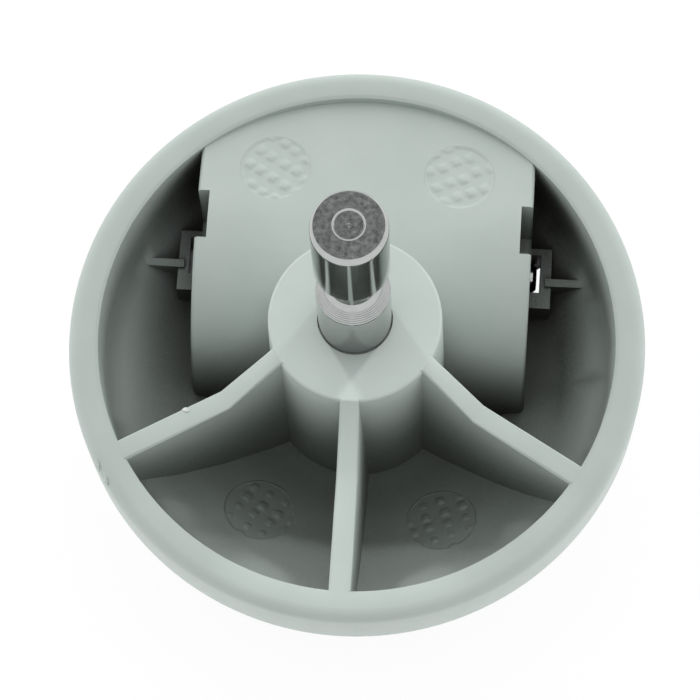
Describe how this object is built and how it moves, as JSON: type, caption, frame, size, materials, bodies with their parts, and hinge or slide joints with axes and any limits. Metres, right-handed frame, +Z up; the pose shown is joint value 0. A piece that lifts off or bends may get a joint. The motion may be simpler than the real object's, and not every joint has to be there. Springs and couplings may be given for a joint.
{
  "type": "robot vacuum swivel castor",
  "caption": "Swivel castor of a robot vacuum: a round ribbed plastic cup with a grooved steel stem on top and a crowned wheel on a snap-in axle below.",
  "frame": {"origin": "on the stem's axis, on the flat top of the boss that the stem stands in", "axes": "+Z up along the stem, +X along the wheel's axle, +Y from the stem towards the axle"},
  "size_m": [0.056, 0.056, 0.0549],
  "materials": {
    "housing_plastic": "light grey moulded plastic, matt",
    "stem_steel": "turned and ground steel, bright",
    "axle_steel": "ground steel pin",
    "hub_plastic": "dark moulded plastic",
    "tyre_rubber": "soft black rubber"
  },
  "bodies": {
    "housing": {"castor_housing": "housing_plastic", "stem_pin": "stem_steel"},
    "wheel": {"wheel_hub": "hub_plastic", "tyre": "tyre_rubber", "wheel_axle": "axle_steel"}
  },
  "joints": [
    {"name": "wheel_spin", "type": "hinge", "parent": "housing", "child": "wheel", "pos_m": [0, 0.0114, -0.0186], "axis": [1, 0, 0], "continuous": true}
  ]
}
